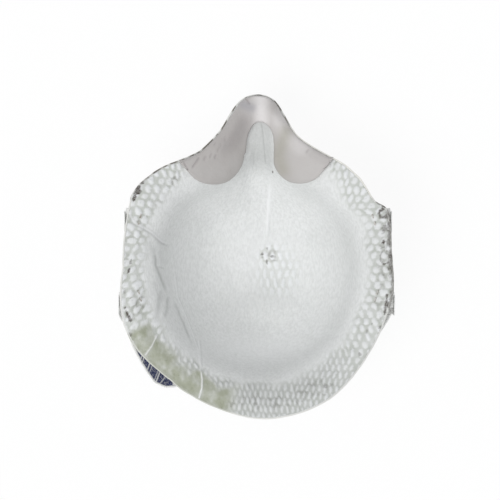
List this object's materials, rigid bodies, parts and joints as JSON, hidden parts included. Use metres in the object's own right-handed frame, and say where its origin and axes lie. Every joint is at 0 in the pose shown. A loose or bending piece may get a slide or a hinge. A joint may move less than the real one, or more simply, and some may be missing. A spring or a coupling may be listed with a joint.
{
  "type": "disposable dust mask",
  "caption": "Cup-shaped disposable dust mask with an outer net, filter layers, a foam nose cushion and two stapled elastic head straps, lying on its front",
  "frame": {"origin": "middle of the small flat at the front of the cup, which the mask lies on; it is also the middle of the outline seen from above", "axes": "+Y towards the nose bridge, +Z out of the open side towards the wearer's face, +X to the right of someone who looks into the cup"},
  "size_m": [0.1264, 0.1461, 0.0531],
  "materials": {
    "net": "moulded open net, matt white",
    "web": "thin white nonwoven web",
    "felt": "white needled filter felt",
    "lining": "soft white nonwoven lining, pressed against the net at its edge",
    "seal": "melted and cut edge, off-white",
    "foam": "open-cell foam, warm grey",
    "elastic": "ribbed white elastic band with plain navy bars",
    "wire": "flattened steel wire"
  },
  "bodies": {
    "mask": {"net_shell": "net", "cover_web": "web", "filter_felt": "felt", "inner_lining": "lining", "edge_seal": "seal", "nose_cushion": "foam", "strap_end_upper_right": "elastic", "strap_end_upper_left": "elastic", "strap_end_lower_right": "elastic", "strap_end_lower_left": "elastic", "staple_upper_right": "wire", "staple_upper_left": "wire", "staple_lower_right": "wire", "staple_lower_left": "wire"},
    "upper_strap": {"upper_strap": "elastic"},
    "lower_strap": {"lower_strap": "elastic"}
  },
  "joints": [
    {"name": "upper_strap_swing", "type": "hinge", "parent": "mask", "child": "upper_strap", "pos_m": [0, 0.018, 0.0474], "axis": [1, 0, 0], "range_deg": [0, 225]},
    {"name": "lower_strap_swing", "type": "hinge", "parent": "mask", "child": "lower_strap", "pos_m": [0, -0.02, 0.0474], "axis": [-1, 0, 0], "range_deg": [0, 142]}
  ]
}
